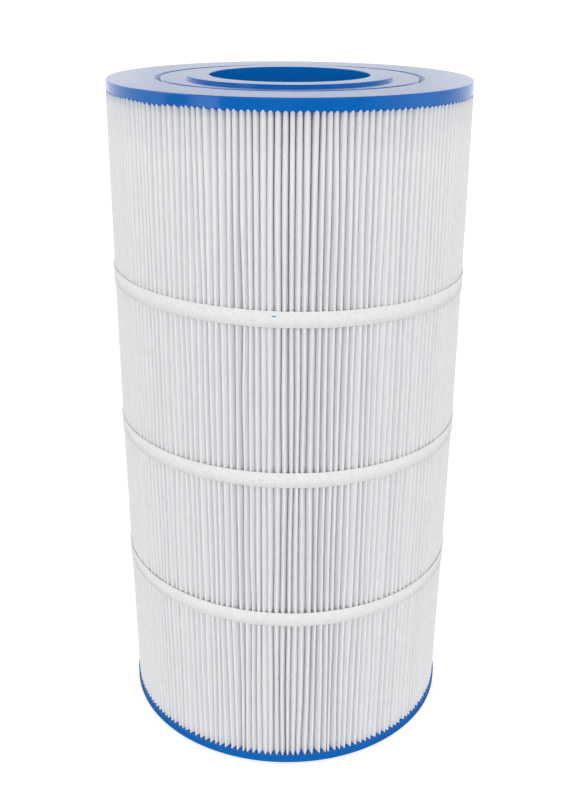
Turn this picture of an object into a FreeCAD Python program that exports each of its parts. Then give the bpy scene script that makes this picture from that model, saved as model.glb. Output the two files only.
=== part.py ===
"""Pleated pool filter cartridge: two moulded end caps, one pleated sheet, its bands and the core inside it.

Millimetres, +Z up. The origin is at the middle of the base, where the lower seal ring rests.
The cartridge stands on that ring, and its axis is the Z axis. The front is -Y.
"""

import FreeCAD
import Part

import math
import os

from FreeCAD import Vector

# ---- Driving dimensions ----
CAP_DIAMETER = 227.0
OVERALL_LENGTH = 441.3
BORE_DIAMETER = 100.0

# End caps: cast urethane, poured over the ends of the pleats and of the core.
SEAL_OUTER_DIAMETER = 129.0
SEAL_HEIGHT = 1.6
SEAL_EDGE_RADIUS = 0.5
CAP_EDGE_RADIUS = 1.0
TOP_SKIRT = 7.4
BOTTOM_SKIRT = 5.8
PLEAT_COVER = 3.6
LINING_DEPTH = 13.0
GROOVE_DIAMETER = 163.4
GROOVE_WIDTH = 3.6
GROOVE_DEPTH = 2.0

# Pleated media: one sheet of spun-bonded polyester.
PLEATS = 176
MEDIA_THICKNESS = 0.55
TIP_DIAMETER = 226.0
ROOT_DIAMETER = 114.0
TIP_FOLD_RADIUS = 1.0
ROOT_FOLD_RADIUS = 0.42
SEAM_ANGLE = math.radians(90.0)
SEAM_BOND_WIDTH = 14.0

# Bands: strips wrapped once around the pleat tips and lapped at the back.
BAND_WIDTH = 10.0
BAND_THICKNESS = 0.45
BAND_CLEARANCE = 0.02
BAND_LAP_ANGLE = math.radians(14.0)
BAND_HEIGHTS = {"lower_band": 117.3, "middle_band": 216.9, "upper_band": 318.4}

# Core: moulded cage sections that plug into each other.
CORE_DIAMETER = 112.0
CORE_WALL = 3.0
CORE_SECTIONS = 4
JOINT_DEPTH = 4.0
JOINT_CLEARANCE = 0.05
WINDOW_COLUMNS = 18
WINDOW_ROWS = 5
WINDOW_WIDTH = 14.4
WINDOW_HEIGHT = 14.0
WINDOW_CORNER_RADIUS = 1.5
END_RING_HEIGHT = 8.0
CUT_MARGIN = 2.0

# ---- Worked out from the driving dimensions ----
CAP_RADIUS = CAP_DIAMETER / 2
BORE_RADIUS = BORE_DIAMETER / 2
SEAL_RADIUS = SEAL_OUTER_DIAMETER / 2
CORE_RADIUS = CORE_DIAMETER / 2
CORE_BORE_RADIUS = CORE_RADIUS - CORE_WALL
BOTTOM_FACE = SEAL_HEIGHT
TOP_FACE = OVERALL_LENGTH - SEAL_HEIGHT
PACK_BOTTOM = BOTTOM_FACE + PLEAT_COVER
PACK_TOP = TOP_FACE - PLEAT_COVER
PACK_LENGTH = PACK_TOP - PACK_BOTTOM
HALF_SHEET = MEDIA_THICKNESS / 2
TIP_CENTRE_RADIUS = TIP_DIAMETER / 2 - TIP_FOLD_RADIUS - HALF_SHEET
ROOT_CENTRE_RADIUS = ROOT_DIAMETER / 2 + ROOT_FOLD_RADIUS + HALF_SHEET
PITCH_ANGLE = 2 * math.pi / PLEATS
FULL_TURN = 360
ALONG = 0.999
ORIGIN = Vector(0, 0, 0)
Z_AXIS = Vector(0, 0, 1)


def polar(radius, angle, z=0.0):
    return Vector(radius * math.cos(angle), radius * math.sin(angle), z)


def turned(direction, angle):
    """A direction in the XY plane, turned anticlockwise."""
    c, s = math.cos(angle), math.sin(angle)
    return Vector(direction.x * c - direction.y * s, direction.x * s + direction.y * c, 0)


def line(start, end):
    return Part.LineSegment(start, end).toShape()


def arc(start, middle, end):
    return Part.Arc(start, middle, end).toShape()


def annulus(outer, inner, height, z):
    base = Vector(0, 0, z)
    return Part.makeCylinder(outer, height, base).cut(Part.makeCylinder(inner, height, base))


# ---- Pleated media ----
def flank(start, end, turn):
    """The straight run between two fold centres, as (start foot, end foot, direction, outward normal).

    The feet lie on the sheet's middle. turn is +1 on a flank that rises to a tip and -1 on one that falls.
    """
    span = end - start
    lean = math.asin((TIP_FOLD_RADIUS + ROOT_FOLD_RADIUS) / span.Length)
    direction = turned(span.normalize(), -turn * lean)
    outward = Vector(direction.y, -direction.x, 0)
    if turn > 0:
        return start - outward * ROOT_FOLD_RADIUS, end + outward * TIP_FOLD_RADIUS, direction, outward
    return start + outward * TIP_FOLD_RADIUS, end - outward * ROOT_FOLD_RADIUS, direction, outward


def tip_centre(pleat):
    return polar(TIP_CENTRE_RADIUS, SEAM_ANGLE + (pleat + 0.5) * PITCH_ANGLE)


def root_centre(root):
    return polar(ROOT_CENTRE_RADIUS, SEAM_ANGLE + root * PITCH_ANGLE)


def sheet_side(offset):
    """One side of the sheet, from its first end to its last; offset is +half a sheet outside, -half inside."""
    edges = []
    last = None
    for pleat in range(PLEATS):
        tip = tip_centre(pleat)
        up_foot, up_head, _, up_out = flank(root_centre(pleat), tip, 1)
        down_head, down_foot, _, down_out = flank(tip, root_centre(pleat + 1), -1)
        points = [up_foot + up_out * offset, up_head + up_out * offset]
        points += [down_head + down_out * offset, down_foot + down_out * offset]
        if last is not None:
            root_angle = SEAM_ANGLE + pleat * PITCH_ANGLE
            bottom = root_centre(pleat) - polar(ROOT_FOLD_RADIUS - offset, root_angle)
            edges.append(arc(last, bottom, points[0]))
        crown = tip + polar(TIP_FOLD_RADIUS + offset, SEAM_ANGLE + (pleat + 0.5) * PITCH_ANGLE)
        edges.append(line(points[0], points[1]))
        edges.append(arc(points[1], crown, points[2]))
        edges.append(line(points[2], points[3]))
        last = points[3]
    first = edges[0].Vertexes[0].Point
    return edges, first, last


def pleated_media():
    outside, outside_first, outside_last = sheet_side(HALF_SHEET)
    inside, inside_first, inside_last = sheet_side(-HALF_SHEET)
    ends = [line(outside_last, inside_last), line(inside_first, outside_first)]
    outline = Part.Wire(outside + [ends[0]] + inside[::-1] + [ends[1]])
    sheet = Part.Face(outline).extrude(Z_AXIS * PACK_LENGTH)
    sheet.translate(Z_AXIS * PACK_BOTTOM)
    return sheet


def media_seam_bond():
    """The strip of adhesive between the sheet's two ends, in the valley at the back."""
    foot, _, rising, rising_out = flank(root_centre(0), tip_centre(0), 1)
    _, end, falling, falling_out = flank(tip_centre(PLEATS - 1), root_centre(PLEATS), -1)
    corners = [foot + rising_out * HALF_SHEET]
    corners.append(corners[0] + rising * SEAM_BOND_WIDTH)
    last_corner = end + falling_out * HALF_SHEET
    corners.append(last_corner - falling * SEAM_BOND_WIDTH)
    corners.append(last_corner)
    bottom = BOTTOM_FACE + BOTTOM_SKIRT
    height = TOP_FACE - TOP_SKIRT - bottom
    strip = Part.Face(Part.makePolygon(corners + corners[:1])).extrude(Z_AXIS * height)
    strip.translate(Z_AXIS * bottom)
    return strip


# ---- End caps ----
def at(radius, depth):
    """A point of the cap's half section in the XZ plane; depth is below the cap's flat face."""
    return Vector(radius, 0, -depth)


def corner_round(radius, depth, size, outward):
    """The quarter round at the top of a wall; outward is 1 on a wall that faces away from the axis, else -1."""
    share = size * (1 - math.sqrt(0.5))
    middle = at(radius - outward * share, depth + share)
    return arc(at(radius - outward * size, depth), middle, at(radius, depth + size))


def cap_outline(skirt):
    seal_top = -SEAL_HEIGHT
    seal_wall_top = seal_top + SEAL_EDGE_RADIUS
    groove_inner = (GROOVE_DIAMETER - GROOVE_WIDTH) / 2
    groove_outer = (GROOVE_DIAMETER + GROOVE_WIDTH) / 2
    flat_end = CAP_RADIUS - CAP_EDGE_RADIUS
    return Part.Wire([
        corner_round(BORE_RADIUS, seal_top, SEAL_EDGE_RADIUS, -1),
        line(at(BORE_RADIUS + SEAL_EDGE_RADIUS, seal_top), at(SEAL_RADIUS - SEAL_EDGE_RADIUS, seal_top)),
        corner_round(SEAL_RADIUS, seal_top, SEAL_EDGE_RADIUS, 1),
        line(at(SEAL_RADIUS, seal_wall_top), at(SEAL_RADIUS, 0)),
        line(at(SEAL_RADIUS, 0), at(groove_inner, 0)),
        arc(at(groove_inner, 0), at(GROOVE_DIAMETER / 2, GROOVE_DEPTH), at(groove_outer, 0)),
        line(at(groove_outer, 0), at(flat_end, 0)),
        corner_round(CAP_RADIUS, 0, CAP_EDGE_RADIUS, 1),
        line(at(CAP_RADIUS, CAP_EDGE_RADIUS), at(CAP_RADIUS, skirt)),
        line(at(CAP_RADIUS, skirt), at(CORE_RADIUS, skirt)),
        line(at(CORE_RADIUS, skirt), at(CORE_RADIUS, PLEAT_COVER)),
        line(at(CORE_RADIUS, PLEAT_COVER), at(CORE_BORE_RADIUS, PLEAT_COVER)),
        line(at(CORE_BORE_RADIUS, PLEAT_COVER), at(CORE_BORE_RADIUS, LINING_DEPTH)),
        line(at(CORE_BORE_RADIUS, LINING_DEPTH), at(BORE_RADIUS, LINING_DEPTH)),
        line(at(BORE_RADIUS, LINING_DEPTH), at(BORE_RADIUS, seal_wall_top)),
    ])


def end_cap(skirt, media, top):
    """A turned ring, less the pleats that are cast into it."""
    cap = Part.Face(cap_outline(skirt)).revolve(ORIGIN, Z_AXIS, FULL_TURN)
    if top:
        cap.translate(Z_AXIS * TOP_FACE)
    else:
        cap.rotate(ORIGIN, Vector(0, 1, 0), FULL_TURN / 2)
        cap.translate(Z_AXIS * BOTTOM_FACE)
    return cap.cut(media)


# ---- Bands ----
def sector(start, span, bottom, height):
    """A solid wedge about the axis that reaches past the caps."""
    reach = 2 * CAP_RADIUS
    centre = Z_AXIS * bottom
    first = polar(reach, start, bottom)
    last = polar(reach, start + span, bottom)
    return Part.Face(Part.makePolygon([centre, first, last, centre])).extrude(Z_AXIS * height)


def band(height):
    """One turn round the tips, with a second layer where the strip's end is lapped over its start."""
    inner = TIP_DIAMETER / 2 + BAND_CLEARANCE
    outer = inner + BAND_THICKNESS
    bottom = height - BAND_WIDTH / 2
    turn = annulus(outer, inner, BAND_WIDTH, bottom)
    second_layer = annulus(outer + BAND_THICKNESS, outer, BAND_WIDTH, bottom)
    lap = second_layer.common(sector(SEAM_ANGLE - BAND_LAP_ANGLE / 2, BAND_LAP_ANGLE, bottom, BAND_WIDTH))
    return turn.fuse(lap).removeSplitter()


# ---- Core ----
def window_cutter(angle, z):
    """A round-cornered bar that cuts one window through the wall, pointing along the radius."""
    corner = Vector(CORE_BORE_RADIUS - CUT_MARGIN, -WINDOW_WIDTH / 2, z)
    bar = Part.makeBox(CORE_WALL + 2 * CUT_MARGIN, WINDOW_WIDTH, WINDOW_HEIGHT, corner)
    radial_edges = [e for e in bar.Edges if abs(e.tangentAt(e.FirstParameter).x) > ALONG]
    bar = bar.makeFillet(WINDOW_CORNER_RADIUS, radial_edges)
    bar.rotate(ORIGIN, Z_AXIS, math.degrees(angle))
    return bar


def core_section(index):
    """One cage: its socket takes the spigot of the section above. The core's two ends are plain."""
    length = PACK_LENGTH / CORE_SECTIONS
    bottom = PACK_BOTTOM + index * length
    joint_radius = (CORE_RADIUS + CORE_BORE_RADIUS) / 2
    cage = annulus(CORE_RADIUS, CORE_BORE_RADIUS, length, bottom)
    rows_height = length - 2 * END_RING_HEIGHT
    gap = (rows_height - WINDOW_ROWS * WINDOW_HEIGHT) / (WINDOW_ROWS - 1)
    cutters = []
    for row in range(WINDOW_ROWS):
        z = bottom + END_RING_HEIGHT + row * (WINDOW_HEIGHT + gap)
        for column in range(WINDOW_COLUMNS):
            cutters.append(window_cutter(column * 2 * math.pi / WINDOW_COLUMNS, z))
    cage = cage.cut(Part.makeCompound(cutters))
    if index < CORE_SECTIONS - 1:
        cage = cage.cut(annulus(joint_radius, CORE_BORE_RADIUS, JOINT_DEPTH, bottom + length - JOINT_DEPTH))
    if index > 0:
        spigot_length = JOINT_DEPTH - JOINT_CLEARANCE
        spigot = annulus(
            joint_radius - JOINT_CLEARANCE, CORE_BORE_RADIUS, spigot_length, bottom - spigot_length
        )
        cage = cage.fuse(spigot).removeSplitter()
    return cage


def all_parts():
    media = pleated_media()
    parts = {
        "pleated_media": media,
        "media_seam_bond": media_seam_bond(),
        "top_end_cap": end_cap(TOP_SKIRT, media, True),
        "bottom_end_cap": end_cap(BOTTOM_SKIRT, media, False),
    }
    for name, height in BAND_HEIGHTS.items():
        parts[name] = band(height)
    for index in range(CORE_SECTIONS):
        parts[f"core_section_{index + 1}"] = core_section(index)
    return parts


def main():
    os.makedirs("parts", exist_ok=True)
    for name, shape in all_parts().items():
        solids = shape.Solids
        whole = solids[0] if len(solids) == 1 else Part.makeCompound(solids)
        whole.exportStep(f"parts/{name}.step")
        print(name, len(solids), "solid", len(whole.Faces), "faces", round(whole.Volume), "mm3", whole.isValid())


main()
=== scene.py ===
import math

import bpy
import numpy as np
from mathutils import Matrix


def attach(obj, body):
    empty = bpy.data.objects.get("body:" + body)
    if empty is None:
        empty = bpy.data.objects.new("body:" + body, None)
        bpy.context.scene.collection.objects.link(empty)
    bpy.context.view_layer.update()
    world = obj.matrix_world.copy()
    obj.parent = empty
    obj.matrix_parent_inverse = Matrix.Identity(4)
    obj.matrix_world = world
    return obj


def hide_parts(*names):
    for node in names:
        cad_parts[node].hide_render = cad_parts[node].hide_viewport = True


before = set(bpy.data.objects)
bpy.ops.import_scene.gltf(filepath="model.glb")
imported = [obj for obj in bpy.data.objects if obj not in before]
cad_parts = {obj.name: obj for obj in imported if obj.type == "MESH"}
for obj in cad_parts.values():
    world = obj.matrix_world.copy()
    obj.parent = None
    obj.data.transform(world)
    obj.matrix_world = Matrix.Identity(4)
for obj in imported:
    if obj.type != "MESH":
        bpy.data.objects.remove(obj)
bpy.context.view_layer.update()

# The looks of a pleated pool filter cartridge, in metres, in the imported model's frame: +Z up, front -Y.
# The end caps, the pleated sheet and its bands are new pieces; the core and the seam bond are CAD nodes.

MM = 0.001
TURN = 2 * math.pi
SEED = 409
rng = np.random.default_rng(SEED)


def extent(node):
    """Lowest and highest radius and height of a CAD node: (inner, outer, bottom, top)."""
    co = np.array([v.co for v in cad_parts[node].data.vertices])
    radius = np.hypot(co[:, 0], co[:, 1])
    return radius.min(), radius.max(), co[:, 2].min(), co[:, 2].max()


# ---- Sizes that come from the CAD model ----
BORE_RADIUS, CAP_RADIUS, _, TOP = extent("top_end_cap")
ROOT_RADIUS, TIP_RADIUS, SHEET_BOTTOM, SHEET_TOP = extent("pleated_media")
CORE_INNER, CORE_OUTER, _, _ = extent("core_section_2")
BANDS = {name: extent(name) for name in ("lower_band", "middle_band", "upper_band")}

# ---- End caps ----
SEAL_HEIGHT = 1.6 * MM
SEAL_RADIUS = 64.5 * MM
GROOVE_RADIUS = 81.7 * MM
GROOVE_WIDTH = 3.6 * MM
GROOVE_DEPTH = 2.0 * MM
TOP_SKIRT = 7.4 * MM
BOTTOM_SKIRT = 5.8 * MM
PLEAT_COVER = 3.6 * MM
LINING_DEPTH = 13.0 * MM
CAP_EDGE_ROUND = 1.0 * MM
SMALL_ROUND = 0.45 * MM
SUPPORT = 0.25 * MM
ARCH_WIDTH = 2.3 * MM
ARCH_HEIGHT = 0.6 * MM
ARCH_VARIATION = (0.7, 1.3)
ARCH_COLUMNS = (-1.0, -0.85, -0.6, -0.3, 0.0, 0.3, 0.6, 0.85, 1.0)
COLUMNS_PER_PLEAT = len(ARCH_COLUMNS) + 1
COARSE_STEP = COLUMNS_PER_PLEAT // 2
COARSE_FIRST = COARSE_STEP - 1
TOP_SAG = 0.2 * MM
BOTTOM_SAG = 0.1 * MM
TOP_RIM_ROUND = 0.8 * MM
BOTTOM_RIM_ROUND = 0.4 * MM
EDGE_WAVES = (5, 11, 23)
EDGE_WAVE_SIZE = 0.06 * MM
EDGE_BAND = 3.0 * MM
EDGE_SHELF = 7.0 * MM
ARC_POINTS = 5
CORNER_POINTS = ARC_POINTS + 2
RIM_CORNER = 8

# ---- The top skirt was poured by hand and hangs lower in places ----
# Bearings here and below are in degrees from the front towards +X.
# (size, times it comes in one round of the rim, bearing of a lowest place)
SKIRT_SWAY = ((0.6 * MM, 1, 75), (0.35 * MM, 2, 60))
DRIP_BEARING = -42
DRIP_SPREAD = 5
DRIP_SIZE = 0.9 * MM

# ---- Pleats ----
PLEATS = 176
PITCH = TURN / PLEATS
SEAM_ANGLE = TURN / 4
TOP_POTTING = TOP - SEAL_HEIGHT - TOP_SKIRT
BOTTOM_POTTING = SEAL_HEIGHT + BOTTOM_SKIRT
VALLEY_DEPTH = 4.3 * MM
VALLEY_GAP = 0.12 * MM
SEALED_NOSE = 0.42 * MM
FREE_NOSE = 0.66 * MM
EXTRA_TOP_NOSE = 0.59 * MM
TIP_WANDER = 0.1 * MM
ROW_GAP = 15 * MM
BELLY = 1.2 * MM
TOP_FLARE = 0.35 * MM
BOTTOM_TUCK = 0.5 * MM
TOP_DEEPENING = 0.15

# ---- Shade painted on the sheet towards the top casting: its reach below the potting, and its share there ----
TOP_SHADE_REACH = 26 * MM
TOP_SHADE_SHARE = 0.36
# The next two: a darker, bluish painted shadow right under the skirt.
SKIRT_SHADOW_REACH = 4.5 * MM
SKIRT_SHADOW_SHARE = 0.4

# ---- Bands, and the blue smear on the upper one ----
BAND_TILTS = {"lower_band": -0.010, "middle_band": -0.007, "upper_band": -0.016}
BAND_THICKNESS = 0.42 * MM
BAND_EDGE_ROUND = 0.16 * MM
BAND_GAP = 0.02 * MM
BAND_LAP = math.radians(14)
LAP_STEP = math.radians(2.5)
BAND_COLUMNS = 1000
BAND_RIPPLES = (7, 19, 43)
BAND_RIPPLE_SIZE = 0.03 * MM
SPECK_PLACE = (-0.0080, -0.1143, 0.3204)
SPECK_SIZE = (1.7 * MM, 4.0 * MM, 0.6 * MM)

# ---- Camera ----
CAMERA_BACK = 0.6786
CAMERA_HEIGHT = 0.5032
CAMERA_PITCH = math.radians(22.50)
CAMERA_YAW = math.radians(0.157)
CAMERA_ROLL = math.radians(0.314)
CAMERA_LENS_MM = 47.165
SENSOR_MM = 36.0

# ---- Studio ----
FLOOR_REACH = 40.0
FLOOR_GLOW = 0.72
# (place on the axis across the dome, from -1 to 1, and its share of the light)
DOME_HEIGHT_STOPS = ((-0.1, 0.27), (-0.02, 1.0), (0.36, 1.0), (0.62, 0.3), (1.0, 0.25))
DOME_DEPTH_STOPS = ((-1.0, 1.0), (0.0, 0.67), (1.0, 0.76))
DOME_LIGHT = 2.1
CARD_LIFT = 0.0002
CARD_LIGHT = 0.12
BOX_PLACE = (-1.2, 0.1, 1.5)
BOX_SIDE = 0.7
BOX_LIGHT = 2.0
TENT_RADIUS = 1.5
TENT_HEIGHT = 1.2
TENT_SIDES = 96
TENT_LIGHT = 1.5
# Cloths and cards round the tent, the same on both sides but for the strip light and the flag beside it:
# (bearing, half its width, share of the tent's light)
TENT_CLOTHS = (
    (0, 40, 0.04),
    (90, 12, 0.5),
    (145, 15, 0.9),
    (180, 10, 0.6),
    (215, 15, 0.9),
    (270, 12, 0.5),
    (291, 6, 0.12),
    (313, 5, 0.85),
)


# ---- Meshes ----
def smooth_step(t):
    """Eases from 0 to 1 as t goes from 0 to 1, and holds beyond."""
    t = np.clip(t, 0, 1)
    return t * t * (3 - 2 * t)


def quads_of(index):
    """The four-sided faces between the rows and columns of a grid of vertex numbers."""
    corners = [index[:-1, :-1], index[:-1, 1:], index[1:, 1:], index[1:, :-1]]
    return np.stack(corners, axis=-1).reshape(-1, 4).tolist()


def fill_smooth(mesh, vertices, faces):
    mesh.from_pydata(vertices, [], faces)
    mesh.polygons.foreach_set("use_smooth", [True] * len(mesh.polygons))
    mesh.update()


def smooth_piece(name, vertices, faces):
    mesh = bpy.data.meshes.new(name)
    fill_smooth(mesh, vertices, faces)
    piece = bpy.data.objects.new(name, mesh)
    bpy.context.scene.collection.objects.link(piece)
    return piece


def grid_piece(name, points, close_rows=False):
    """A mesh object from rows by columns of points; close_rows joins the last row to the first."""
    rows, columns = points.shape[:2]
    index = np.arange(rows * columns).reshape(rows, columns)
    if close_rows:
        index = np.vstack([index, index[:1]])
    return smooth_piece(name, points.reshape(-1, 3).tolist(), quads_of(index))


def finished(piece, material, slot, *nodes):
    """Gives the piece its material and lets it stand for its CAD nodes; slot is not used."""
    piece.data.materials.append(material)
    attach(piece, "root")
    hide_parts(*nodes)
    return piece


def polar(radius, angle, height):
    """Points from radius, angle from +X, and height; each may be one number or many."""
    return np.stack(np.broadcast_arrays(radius * np.cos(angle), radius * np.sin(angle), height), axis=-1)


# ---- Pleats: where each tip is at each height ----
def uneven_tips(spread):
    """Tip positions round the sheet, in pleats, with uneven gaps that never drift far from even ones."""
    gaps = np.clip(1 + spread * rng.standard_normal(PLEATS), 0.6, 1.5)
    places = np.cumsum(gaps * PLEATS / gaps.sum())
    drift = places - np.arange(PLEATS)
    window = 9
    wrapped = np.concatenate([drift[-window:], drift, drift[:window]])
    slow = np.convolve(wrapped, np.ones(window) / window, mode="same")[window:-window]
    return np.arange(PLEATS) + drift - slow


def pleat_controls():
    """Heights at which the tips' places are drawn, and the places: the potting, the bands and mid-bay."""
    held = [BOTTOM_POTTING] + [(b[2] + b[3]) / 2 for b in BANDS.values()] + [TOP_POTTING]
    heights = sorted(held + [(a + b) / 2 for a, b in zip(held, held[1:])])
    places = [uneven_tips(0.17)]
    for _ in heights[1:]:
        share = 0.55
        places.append(share * places[-1] + (1 - share) * uneven_tips(0.26))
    return np.array(heights), np.array(places)


CONTROL_HEIGHTS, CONTROL_PLACES = pleat_controls()
TIP_VARIATION = rng.standard_normal((len(CONTROL_HEIGHTS), PLEATS))
WIDTH_VARIATION = rng.standard_normal((len(CONTROL_HEIGHTS), PLEATS))
ROOT_SHIFT = 0.05 * rng.standard_normal(PLEATS)
VALLEY_VARIATION = rng.uniform(0.65, 1.3, PLEATS)


def at_height(values, z):
    """Values drawn at the control heights, eased to height z."""
    z = min(max(z, CONTROL_HEIGHTS[0]), CONTROL_HEIGHTS[-1])
    k = min(int(np.searchsorted(CONTROL_HEIGHTS, z, side="right")) - 1, len(CONTROL_HEIGHTS) - 2)
    t = smooth_step((z - CONTROL_HEIGHTS[k]) / (CONTROL_HEIGHTS[k + 1] - CONTROL_HEIGHTS[k]))
    return values[k] * (1 - t) + values[k + 1] * t


def share_up(z):
    """How far up the sheet z is: 0 at the bottom potting, 1 at the top one."""
    return (z - BOTTOM_POTTING) / (TOP_POTTING - BOTTOM_POTTING)


def belly(up):
    """How far the tips stand out past their radius: most half way up, and inwards at the bottom."""
    return BELLY * math.sin(math.pi * up) - BOTTOM_TUCK * (1 - up) + TOP_FLARE * up


def tip_angles(z):
    return SEAM_ANGLE + (at_height(CONTROL_PLACES, z) + 0.5) * PITCH


def tip_radius(z):
    """The pleats belly out between the caps, and each tip wanders a little where nothing holds it."""
    up = min(max(share_up(z), 0), 1)
    return TIP_RADIUS + belly(up) + TIP_WANDER * math.sin(math.pi * up) * at_height(TIP_VARIATION, z)


def band_radius(z):
    """The radius at which a band lies on the tips."""
    return TIP_RADIUS + belly(share_up(z)) + TIP_WANDER


def nose_radius(z):
    """Half the width of each rounded tip: tight folds in the bottom potting, wide under the top cap."""
    up = share_up(z)
    nose = FREE_NOSE + EXTRA_TOP_NOSE * smooth_step((up - 0.72) / 0.28)
    nose = SEALED_NOSE + (nose - SEALED_NOSE) * smooth_step(up * 32)
    return nose * (1 + 0.12 * at_height(WIDTH_VARIATION, z))


def fullness(z):
    """How full the flanks are: straight-sided valleys up the sheet, rounder under the top cap."""
    return 1.0 + 0.6 * smooth_step((share_up(z) - 0.8) / 0.2)


def sheet_rows():
    """Heights of the mesh's rows, closer together near the caps and bands."""
    near_cap = np.array([0, 1.2, 2.6, 4.5, 7.5, 13.0]) * MM
    near_band = 6 * MM
    rows = [SHEET_BOTTOM]
    stops = [BOTTOM_POTTING + near_cap]
    for _, _, low, high in BANDS.values():
        stops.append(np.array([low - near_band, low, high, high + near_band]))
    stops.append(TOP_POTTING - near_cap[::-1])
    for k, stop in enumerate(stops):
        if k:
            gap = stop[0] - rows[-1]
            fill = int(round(gap / ROW_GAP))
            rows += list(rows[-1] + gap * np.arange(1, fill) / fill)
        rows += list(stop)
    return rows + [SHEET_TOP]


def sheet_row(z):
    """One row of the sheet: for each pleat its root, then across its tip to the next root."""
    tips = tip_angles(z)
    after = np.append(tips[1:], tips[0] + TURN)
    before = np.insert(tips[:-1], 0, tips[-1] - TURN)
    roots = (before + tips) / 2 + ROOT_SHIFT * PITCH
    next_roots = np.append(roots[1:], roots[0] + TURN)
    outer = tip_radius(z)
    room = np.minimum(tips - roots, next_roots - tips) * outer
    nose = np.minimum(nose_radius(z), 0.78 * room)
    power = fullness(z)
    up = share_up(z)
    columns = []

    def put(depth, across):
        """Adds one column: a point on every pleat, this deep from its tip and this far to its side."""
        radius = outer - depth
        centre = polar(radius, tips, z)
        side = np.stack([-np.sin(tips), np.cos(tips), np.zeros(PLEATS)], axis=-1)
        columns.append(centre + side * across[:, None])

    def flank(valley, reach, sign):
        """From the valley's closed line out to the tip: the touch, the bulge and the shoulder."""
        points = []
        for share in (1.0, 0.5, 0.15):
            depth = nose + (valley - nose) * share
            room_there = reach * (outer - valley) - VALLEY_GAP
            across = nose + (room_there - nose) * (1 - (1 - share) ** power)
            points.append((depth, sign * across))
        for angle in (70, 35):
            turn = math.radians(angle)
            points.append((nose * (1 - math.cos(turn)), sign * nose * math.sin(turn)))
        return points

    valley = VALLEY_DEPTH * VALLEY_VARIATION * (1 + TOP_DEEPENING * smooth_step((up - 0.86) / 0.14))
    next_valley = np.append(valley[1:], valley[0])
    columns.append(polar(np.full(PLEATS, ROOT_RADIUS), roots, z))
    for depth, across in flank(valley, tips - roots, -1):
        put(depth, across)
    put(np.zeros(PLEATS), np.zeros(PLEATS))
    for depth, across in reversed(flank(next_valley, next_roots - tips, 1)):
        put(depth, across)
    row = np.stack(columns, axis=1).reshape(-1, 3)
    return np.vstack([row, polar(ROOT_RADIUS, next_roots[-1:], z)])


def make_media(material):
    rows = sheet_rows()
    points = np.array([sheet_row(z) for z in rows])
    media = finished(grid_piece("media_sheet", points), material, "filter_media", "pleated_media")
    return media


# ---- Bands ----
def make_band(name, material):
    """One strip round the tips, slightly out of level, whose last centimetres lie over its own start."""
    _, _, bottom, top = BANDS[name]
    inner = band_radius((bottom + top) / 2) + BAND_GAP
    start = SEAM_ANGLE - BAND_LAP / 2
    turns = np.linspace(0, TURN + BAND_LAP, BAND_COLUMNS)
    layer = smooth_step((turns - (TURN - LAP_STEP)) / LAP_STEP) * (BAND_THICKNESS + BAND_GAP)
    phase = rng.uniform(0, TURN, 3)
    ripple = sum(np.sin(turns * k + p) for k, p in zip(BAND_RIPPLES, phase)) * BAND_RIPPLE_SIZE
    tilt = BAND_TILTS[name] * inner * np.cos(start + turns)
    section = [(0, 0), (0, 1), (0.5, 1), (1, 1), (1, 0), (0.5, 0)]
    rows = []
    for through, up in section:
        inset = BAND_EDGE_ROUND if through != 0.5 else 0
        height = (top - inset if up else bottom + inset) + ripple + tilt
        rows.append(polar(inner + layer + through * BAND_THICKNESS, start + turns, height))
    piece = grid_piece(name + "_strip", np.array(rows), close_rows=True)
    close_ends(piece.data, len(section), len(turns))
    finished(piece, material, "band", name)
    return piece


def close_ends(mesh, rows, columns):
    """Adds the two end faces of a closed strip made by grid_piece."""
    vertices = [tuple(v.co) for v in mesh.vertices]
    faces = [tuple(p.vertices) for p in mesh.polygons]
    faces.append(tuple(r * columns for r in reversed(range(rows))))
    faces.append(tuple(r * columns + columns - 1 for r in range(rows)))
    mesh.clear_geometry()
    fill_smooth(mesh, vertices, faces)


# ---- End caps ----
def rounded_run(corners):
    """Profile points round (radius, depth, round) corners: a curve with a support point on either side."""
    points = []
    count = len(corners)
    for k, (r, d, size) in enumerate(corners):
        here = np.array([r, d])
        back = np.array(corners[k - 1][:2]) - here
        ahead = np.array(corners[(k + 1) % count][:2]) - here
        back /= np.linalg.norm(back)
        ahead /= np.linalg.norm(ahead)
        points.append(here + back * (size + SUPPORT))
        for t in np.linspace(0, 1, ARC_POINTS):
            points.append(here + (back * (1 - t) ** 2 + ahead * t ** 2) * size)
        points.append(here + ahead * (size + SUPPORT))
    return np.array(points)


def cap_profile(skirt, edge_round):
    """The casting's section, from the bore out over its face, down the skirt and back in to the lining."""
    half = GROOVE_WIDTH / 2
    floor = half * 0.45
    seal = -SEAL_HEIGHT
    return rounded_run([
        (BORE_RADIUS, seal, 0.5 * MM),
        (SEAL_RADIUS, seal, 0.5 * MM),
        (SEAL_RADIUS, 0, 0.25 * MM),
        (GROOVE_RADIUS - half, 0, 0.3 * MM),
        (GROOVE_RADIUS - floor, GROOVE_DEPTH, 0.4 * MM),
        (GROOVE_RADIUS + floor, GROOVE_DEPTH, 0.4 * MM),
        (GROOVE_RADIUS + half, 0, 0.3 * MM),
        (CAP_RADIUS, 0, CAP_EDGE_ROUND),
        (CAP_RADIUS, skirt, edge_round),
        (CORE_OUTER, skirt, SMALL_ROUND),
        (CORE_OUTER, PLEAT_COVER, SMALL_ROUND),
        (CORE_INNER, PLEAT_COVER, SMALL_ROUND),
        (CORE_INNER, LINING_DEPTH, SMALL_ROUND),
        (BORE_RADIUS, LINING_DEPTH, SMALL_ROUND),
    ])


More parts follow.
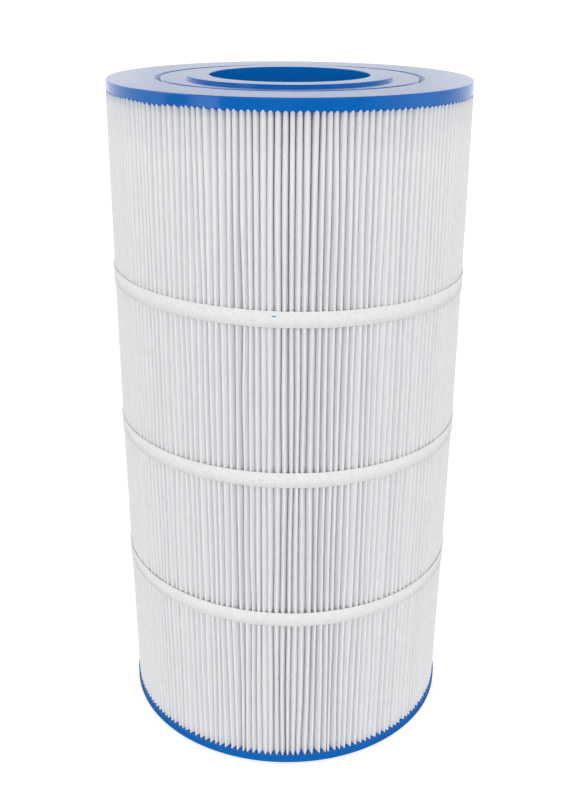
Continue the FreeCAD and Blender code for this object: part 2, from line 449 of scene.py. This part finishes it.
def rim_columns(z):
    """Angles of the skirt's columns, pleat by pleat: across the arch over its tip, then the valley after it.

    Also gives how far each column is across its arch, from -1 to 1, with nan in the valleys.
    """
    tips = tip_angles(z)
    gaps = np.append(tips[1:], tips[0] + TURN) - tips
    half = np.minimum(ARCH_WIDTH / 2 / CAP_RADIUS, 0.45 * np.minimum(gaps, np.roll(gaps, 1)))
    across = np.array(ARCH_COLUMNS)
    angles = np.hstack([tips[:, None] + half[:, None] * across, (tips + gaps / 2)[:, None]])
    return angles.ravel(), np.tile(np.append(across, np.nan), PLEATS)


def make_cap(name, node, material, skirt, edge_round, scallop, sag, up):
    """The casting; its skirt's free edge arches over the pleat tips and sags between them.

    The free edge has many columns to a pleat and the rest two, and wider faces join them.
    """
    angles, across = rim_columns(TOP_POTTING if up else BOTTOM_POTTING)
    height = scallop * rng.uniform(*ARCH_VARIATION, PLEATS).repeat(COLUMNS_PER_PLEAT)
    arch = height * np.sqrt(1 - np.nan_to_num(across) ** 2)
    lift = np.where(np.isnan(across), -sag, arch - 0.6 * sag * np.abs(np.nan_to_num(across)))
    waves = sum(np.sin(angles * k + p) for k, p in zip(EDGE_WAVES, rng.uniform(0, TURN, 3))) * EDGE_WAVE_SIZE
    if up:
        from_front = angles - SEAM_ANGLE + math.pi
        for size, turns, bearing in SKIRT_SWAY:
            waves = waves - size * np.cos(turns * (from_front - math.radians(bearing)))
        from_drip = (from_front - math.radians(DRIP_BEARING) + math.pi) % TURN - math.pi
        waves = waves - DRIP_SIZE * np.exp(-((from_drip / math.radians(DRIP_SPREAD)) ** 2))
    few = slice(COARSE_FIRST, None, COARSE_STEP)

    def ring(radius, depth, columns):
        """One row of points round the cap, moved with the free edge where it is near it."""
        near_edge = smooth_step((depth - skirt + EDGE_BAND) / EDGE_BAND)
        outside = smooth_step((radius - CAP_RADIUS + EDGE_SHELF) / (EDGE_SHELF - MM))
        moved = depth - near_edge * outside * (lift + waves)[columns]
        return polar(radius, angles[columns], TOP - SEAL_HEIGHT - moved if up else SEAL_HEIGHT + moved)

    profile = cap_profile(skirt, edge_round)
    corner = CORNER_POINTS * RIM_CORNER
    after = corner + CORNER_POINTS
    side = [(CAP_RADIUS, skirt - share * EDGE_BAND) for share in (1, 0.75, 0.5)]
    under = [(CAP_RADIUS - share * EDGE_SHELF, skirt) for share in (0.45, 1)]
    fine = [ring(r, d, slice(None)) for r, d in [*side, *profile[corner:after], *under]]
    coarse = [ring(r, d, few) for r, d in [*profile[after:], *profile[:corner]]]
    return finished(two_grid_piece(name, np.array(fine), np.array(coarse), up), material, "end_cap", node)


def two_grid_piece(name, fine, coarse, outward):
    """A closed ring of two grids, the first with COARSE_STEP columns to each one of the second."""
    many, few = fine.shape[1], coarse.shape[1]
    fine_index = np.arange(fine.shape[0] * many).reshape(-1, many)
    coarse_index = fine.shape[0] * many + np.arange(coarse.shape[0] * few).reshape(-1, few)
    faces = []
    for index in (fine_index, coarse_index):
        faces += quads_of(np.hstack([index, index[:, :1]]))
    for k in range(few):
        span = [(COARSE_STEP * k + COARSE_FIRST + step) % many for step in range(COARSE_STEP + 1)]
        ahead = (k + 1) % few
        faces.append([*fine_index[-1, span].tolist(), coarse_index[0, ahead].item(),
                      coarse_index[0, k].item()])
        faces.append([coarse_index[-1, k].item(), coarse_index[-1, ahead].item(),
                      *fine_index[0, span][::-1].tolist()])
    if not outward:
        faces = [face[::-1] for face in faces]
    return smooth_piece(name, [*fine.reshape(-1, 3).tolist(), *coarse.reshape(-1, 3).tolist()], faces)


# ---- Materials ----
class Nodes:
    """Short calls for building a material's node tree."""

    def __init__(self, name):
        self.material = bpy.data.materials.new(name)
        self.material.use_nodes = True
        self.tree = self.material.node_tree
        self.shader = self.tree.nodes["Principled BSDF"]
        self.place = self.tree.nodes.new("ShaderNodeTexCoord").outputs["Object"]

    def link(self, output, target):
        self.tree.links.new(output, target)

    def noise(self, scale, detail=3.0, roughness=0.5, stretch=None):
        node = self.tree.nodes.new("ShaderNodeTexNoise")
        node.inputs["Scale"].default_value = scale
        node.inputs["Detail"].default_value = detail
        node.inputs["Roughness"].default_value = roughness
        place = self.place
        if stretch:
            mapping = self.tree.nodes.new("ShaderNodeMapping")
            mapping.inputs["Scale"].default_value = stretch
            self.link(place, mapping.inputs["Vector"])
            place = mapping.outputs["Vector"]
        self.link(place, node.inputs["Vector"])
        return node.outputs["Fac"]

    def between(self, value, low, high, out_low, out_high):
        node = self.tree.nodes.new("ShaderNodeMapRange")
        ends = (("From Min", low), ("From Max", high), ("To Min", out_low), ("To Max", out_high))
        for name, number in ends:
            node.inputs[name].default_value = number
        self.link(value, node.inputs["Value"])
        return node.outputs["Result"]

    def colours(self, value, stops):
        node = self.tree.nodes.new("ShaderNodeValToRGB")
        ramp = node.color_ramp
        while len(ramp.elements) < len(stops):
            ramp.elements.new(0.5)
        for element, (place, colour) in zip(ramp.elements, stops):
            element.position = place
            element.color = (*colour, 1)
        self.link(value, node.inputs["Fac"])
        return node.outputs["Color"]

    def mix(self, factor, first, second, mode="MIX"):
        node = self.tree.nodes.new("ShaderNodeMix")
        node.data_type = "RGBA"
        node.blend_type = mode
        for value, target in ((factor, node.inputs[0]), (first, node.inputs[6]), (second, node.inputs[7])):
            if isinstance(value, bpy.types.NodeSocket):
                self.link(value, target)
            else:
                target.default_value = value if isinstance(value, float) else (*value, 1)
        return node.outputs[2]

    def blob(self, place, size):
        """1 inside a small ellipsoid, fading to 0 at its edge."""
        away = self.tree.nodes.new("ShaderNodeVectorMath")
        away.operation = "SUBTRACT"
        self.link(self.place, away.inputs[0])
        away.inputs[1].default_value = place
        scaled = self.tree.nodes.new("ShaderNodeVectorMath")
        scaled.operation = "DIVIDE"
        self.link(away.outputs["Vector"], scaled.inputs[0])
        scaled.inputs[1].default_value = size
        length = self.tree.nodes.new("ShaderNodeVectorMath")
        length.operation = "LENGTH"
        self.link(scaled.outputs["Vector"], length.inputs[0])
        return self.between(length.outputs["Value"], 0.5, 1.0, 1.0, 0.0)

    def near_top(self, reach, share):
        """From 0, this far below the top potting, to the given share at it."""
        split = self.tree.nodes.new("ShaderNodeSeparateXYZ")
        self.link(self.place, split.inputs[0])
        return self.between(split.outputs["Z"], float(TOP_POTTING - reach), float(TOP_POTTING), 0.0, share)

    def bump(self, height, distance, strength=1.0, normal=None):
        node = self.tree.nodes.new("ShaderNodeBump")
        node.inputs["Strength"].default_value = strength
        node.inputs["Distance"].default_value = distance
        self.link(height, node.inputs["Height"])
        if normal is not None:
            self.link(normal, node.inputs["Normal"])
        return node.outputs["Normal"]


def urethane():
    """Glossy cast blue urethane: slightly clouded colour, a soft orange peel and a few fine pores."""
    n = Nodes("cast_urethane")
    cloud = n.colours(n.noise(38, 4), [(0.3, (0.0004, 0.122, 0.475)), (0.7, (0.0006, 0.138, 0.52))])
    fine = n.noise(900, 2)
    colour = n.mix(n.between(fine, 0.35, 0.75, 0.0, 0.35), cloud, (0.001, 0.16, 0.56))
    n.link(colour, n.shader.inputs["Base Color"])
    n.link(n.between(n.noise(60, 3), 0.3, 0.7, 0.05, 0.12), n.shader.inputs["Roughness"])
    peel = n.bump(n.noise(160, 2), 0.00004)
    n.link(n.bump(n.noise(2600, 1), 0.00001, normal=peel), n.shader.inputs["Normal"])
    n.shader.inputs["IOR"].default_value = 1.5
    return n.material


def polyester():
    """White spun-bonded polyester: fibres laid mostly along the pleats, thin and thick places.

    It has painted shade towards the top casting: greyer for some centimetres below it, and a darker bluish
    painted shadow just under its skirt.
    """
    n = Nodes("spun_polyester")
    fibres = n.noise(700, 4, 0.6, stretch=(1, 1, 0.25))
    clouds = n.noise(70, 3)
    base = n.colours(fibres, [(0.3, (0.825, 0.828, 0.842)), (0.7, (0.892, 0.893, 0.903))])
    sheet = n.mix(n.between(clouds, 0.35, 0.65, 0.0, 0.35), base, (0.845, 0.85, 0.87))
    # Painted shade: greyer for some centimetres below the top casting, where its skirt keeps light from above
    # off the sheet.
    sheet = n.mix(n.near_top(TOP_SHADE_REACH, TOP_SHADE_SHARE), sheet, (0.62, 0.635, 0.67))
    # Painted shadow: darker and bluish in the last few millimetres under the top casting's skirt.
    sheet = n.mix(n.near_top(SKIRT_SHADOW_REACH, SKIRT_SHADOW_SHARE), sheet, (0.42, 0.50, 0.66))
    n.link(sheet, n.shader.inputs["Base Color"])
    n.link(n.between(fibres, 0.3, 0.7, 0.78, 0.95), n.shader.inputs["Roughness"])
    n.link(n.bump(fibres, 0.00006), n.shader.inputs["Normal"])
    n.shader.inputs["Specular IOR Level"].default_value = 0.2
    n.shader.inputs["Sheen Weight"].default_value = 0.08
    return n.material


def band_strip():
    """A denser non-woven strip, a little warmer than the sheet, with a mottled bond."""
    n = Nodes("band_nonwoven")
    mottle = n.noise(420, 5, 0.65)
    cloth = n.colours(mottle, [(0.32, (0.80, 0.795, 0.80)), (0.6, (0.88, 0.877, 0.88))])
    cloth = n.mix(n.blob(SPECK_PLACE, SPECK_SIZE), cloth, (0.06, 0.25, 0.75))
    n.link(cloth, n.shader.inputs["Base Color"])
    n.link(n.between(mottle, 0.3, 0.7, 0.6, 0.85), n.shader.inputs["Roughness"])
    n.link(n.bump(mottle, 0.00008), n.shader.inputs["Normal"])
    n.shader.inputs["Specular IOR Level"].default_value = 0.3
    return n.material


def moulded_abs():
    """Satin white ABS of the core, with faint flow marks from the mould."""
    n = Nodes("core_abs")
    flow = n.noise(90, 3, 0.5, stretch=(1, 1, 0.3))
    plastic = n.colours(flow, [(0.3, (0.74, 0.745, 0.74)), (0.7, (0.80, 0.80, 0.79))])
    n.link(plastic, n.shader.inputs["Base Color"])
    n.link(n.between(flow, 0.3, 0.7, 0.32, 0.48), n.shader.inputs["Roughness"])
    n.link(n.bump(n.noise(1400, 2), 0.00002), n.shader.inputs["Normal"])
    return n.material


def hot_melt():
    """Waxy translucent-looking adhesive."""
    n = Nodes("hot_melt")
    lumps = n.noise(150, 3)
    wax = n.colours(lumps, [(0.3, (0.72, 0.66, 0.50)), (0.7, (0.82, 0.78, 0.66))])
    n.link(wax, n.shader.inputs["Base Color"])
    n.link(n.between(lumps, 0.3, 0.7, 0.25, 0.45), n.shader.inputs["Roughness"])
    n.link(n.bump(lumps, 0.0002), n.shader.inputs["Normal"])
    return n.material


def floor_paint():
    """A pale floor lit from within, as a light table is, so that it stays even to its far end."""
    n = Nodes("pale_floor")
    paint = n.colours(n.noise(3, 2), [(0.3, (0.55, 0.55, 0.55)), (0.7, (0.57, 0.57, 0.57))])
    n.link(paint, n.shader.inputs["Base Color"])
    n.shader.inputs["Roughness"].default_value = 0.9
    n.shader.inputs["Specular IOR Level"].default_value = 0.0
    n.shader.inputs["Emission Color"].default_value = (1, 1, 1, 1)
    n.shader.inputs["Emission Strength"].default_value = FLOOR_GLOW
    return n.material


def glow(name, strength, cloths=()):
    """A light-giving card, or a tent of cloths that blend from the edge of one to the edge of the next."""
    n = Nodes(name)
    n.shader.inputs["Base Color"].default_value = (0, 0, 0, 1)
    n.shader.inputs["Specular IOR Level"].default_value = 0.0
    n.shader.inputs["Emission Color"].default_value = (1, 1, 1, 1)
    n.shader.inputs["Emission Strength"].default_value = strength
    if cloths:
        bearing = n.tree.nodes.new("ShaderNodeTexGradient")
        bearing.gradient_type = "RADIAL"
        n.link(n.place, bearing.inputs["Vector"])
        edges = [(centre + side * half, light) for centre, half, light in cloths for side in (-1, 1)]
        turned = sorted(((0.25 + edge / 360) % 1, (light, light, light)) for edge, light in edges)
        n.link(n.colours(bearing.outputs["Fac"], turned), n.shader.inputs["Emission Color"])
    return n.material


# ---- Studio ----
def make_camera():
    """In front, a little above the top cap and looking down, turned and rolled by a fraction of a degree."""
    data = bpy.data.cameras.new("camera")
    data.sensor_width = SENSOR_MM
    data.lens = CAMERA_LENS_MM
    data.clip_start = 0.01
    camera = bpy.data.objects.new("camera", data)
    bpy.context.scene.collection.objects.link(camera)
    look = Matrix.Rotation(CAMERA_YAW, 4, "Z") @ Matrix.Rotation(math.pi / 2 - CAMERA_PITCH, 4, "X")
    camera.matrix_world = (
        Matrix.Translation((0, -CAMERA_BACK, CAMERA_HEIGHT)) @ look @ Matrix.Rotation(CAMERA_ROLL, 4, "Z")
    )
    bpy.context.scene.camera = camera


def soft_box(name, place, aim, width, height, radiance):
    """An area light of the given radiance that faces a point."""
    data = bpy.data.lights.new(name, "AREA")
    data.shape = "RECTANGLE"
    data.size = width
    data.size_y = height
    data.energy = radiance * width * height * math.pi
    light = bpy.data.objects.new(name, data)
    bpy.context.scene.collection.objects.link(light)
    direction = np.array(aim) - np.array(place)
    direction /= np.linalg.norm(direction)
    side = np.cross(direction, (0, 0, 1))
    side /= np.linalg.norm(side)
    up = np.cross(side, direction)
    turn = Matrix(np.array([side, up, -direction]).T.tolist()).to_4x4()
    light.matrix_world = Matrix.Translation(place) @ turn
    light.visible_camera = False
    return light


def stage_piece(name, vertices, faces, material):
    """A flat-faced object that belongs to the studio and not to the cartridge."""
    mesh = bpy.data.meshes.new(name)
    mesh.from_pydata(vertices, [], faces)
    mesh.materials.append(material)
    piece = bpy.data.objects.new(name, mesh)
    bpy.context.scene.collection.objects.link(piece)
    return piece


def seen_in_gloss_only(piece):
    for ray in ("camera", "diffuse", "transmission", "volume_scatter", "shadow"):
        setattr(piece, "visible_" + ray, False)


def make_world():
    """A soft dome: brightest low down, dim overhead and below, and brighter in front than at the sides."""
    world = bpy.data.worlds.new("studio")
    world.use_nodes = True
    tree = world.node_tree
    place = tree.nodes.new("ShaderNodeTexCoord")
    split = tree.nodes.new("ShaderNodeSeparateXYZ")
    tree.links.new(place.outputs["Generated"], split.inputs[0])

    def light_along(axis, stops):
        run = tree.nodes.new("ShaderNodeMapRange")
        run.inputs["From Min"].default_value = -1.0
        tree.links.new(split.outputs[axis], run.inputs["Value"])
        ramp = tree.nodes.new("ShaderNodeValToRGB")
        while len(ramp.color_ramp.elements) < len(stops):
            ramp.color_ramp.elements.new(0.5)
        for element, (place_on_axis, light) in zip(ramp.color_ramp.elements, stops):
            element.position = (place_on_axis + 1) / 2
            element.color = (light, light, light, 1)
        tree.links.new(run.outputs["Result"], ramp.inputs["Fac"])
        return ramp.outputs["Color"]

    strength = tree.nodes.new("ShaderNodeMath")
    strength.operation = "MULTIPLY"
    strength.inputs[1].default_value = DOME_LIGHT
    tree.links.new(light_along("Y", DOME_DEPTH_STOPS), strength.inputs[0])
    tree.links.new(light_along("Z", DOME_HEIGHT_STOPS), tree.nodes["Background"].inputs["Color"])
    tree.links.new(strength.outputs["Value"], tree.nodes["Background"].inputs["Strength"])
    bpy.context.scene.world = world


def make_studio():
    """The pale floor, and the tent, card and soft box that only the glossy castings reflect."""
    scene = bpy.context.scene
    make_world()
    corners = [(FLOOR_REACH * x, FLOOR_REACH * y, 0) for x, y in ((-1, -1), (1, -1), (1, 1), (-1, 1))]
    floor = stage_piece("floor", corners, [(0, 1, 2, 3)], floor_paint())
    floor.visible_diffuse = False

    bearings = np.linspace(0, TURN, TENT_SIDES + 1)[:-1]
    low = polar(TENT_RADIUS, bearings, 0.0).tolist()
    high = polar(TENT_RADIUS, bearings, TENT_HEIGHT).tolist()
    count = TENT_SIDES
    walls = [(k, (k + 1) % count, count + (k + 1) % count, count + k) for k in range(count)]
    tent = stage_piece("tent", low + high, walls, glow("tent_cloth", TENT_LIGHT, TENT_CLOTHS))
    paper = glow("floor_card_paper", CARD_LIGHT)
    rim = polar(TENT_RADIUS, bearings, CARD_LIFT).tolist()
    card = stage_piece("floor_card", rim, [tuple(range(count))], paper)
    box = soft_box("left_box", BOX_PLACE, (0, 0, TOP), BOX_SIDE, BOX_SIDE, BOX_LIGHT)
    for piece in (tent, card, box):
        seen_in_gloss_only(piece)

    scene.view_settings.view_transform = "Standard"
    scene.cycles.max_bounces = 16
    scene.cycles.diffuse_bounces = 8


make_camera()
make_studio()
blue = urethane()
make_cap("top_cap_casting", "top_end_cap", blue, TOP_SKIRT, TOP_RIM_ROUND, ARCH_HEIGHT, TOP_SAG, True)
make_cap("bottom_cap_casting", "bottom_end_cap", blue, BOTTOM_SKIRT, BOTTOM_RIM_ROUND, 0.0, BOTTOM_SAG, False)
make_media(polyester())
strip = band_strip()
for band_name in BANDS:
    make_band(band_name, strip)
core_plastic = moulded_abs()
for section in ("core_section_1", "core_section_2", "core_section_3", "core_section_4"):
    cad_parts[section].material_slots[0].material = core_plastic
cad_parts["media_seam_bond"].material_slots[0].material = hot_melt()
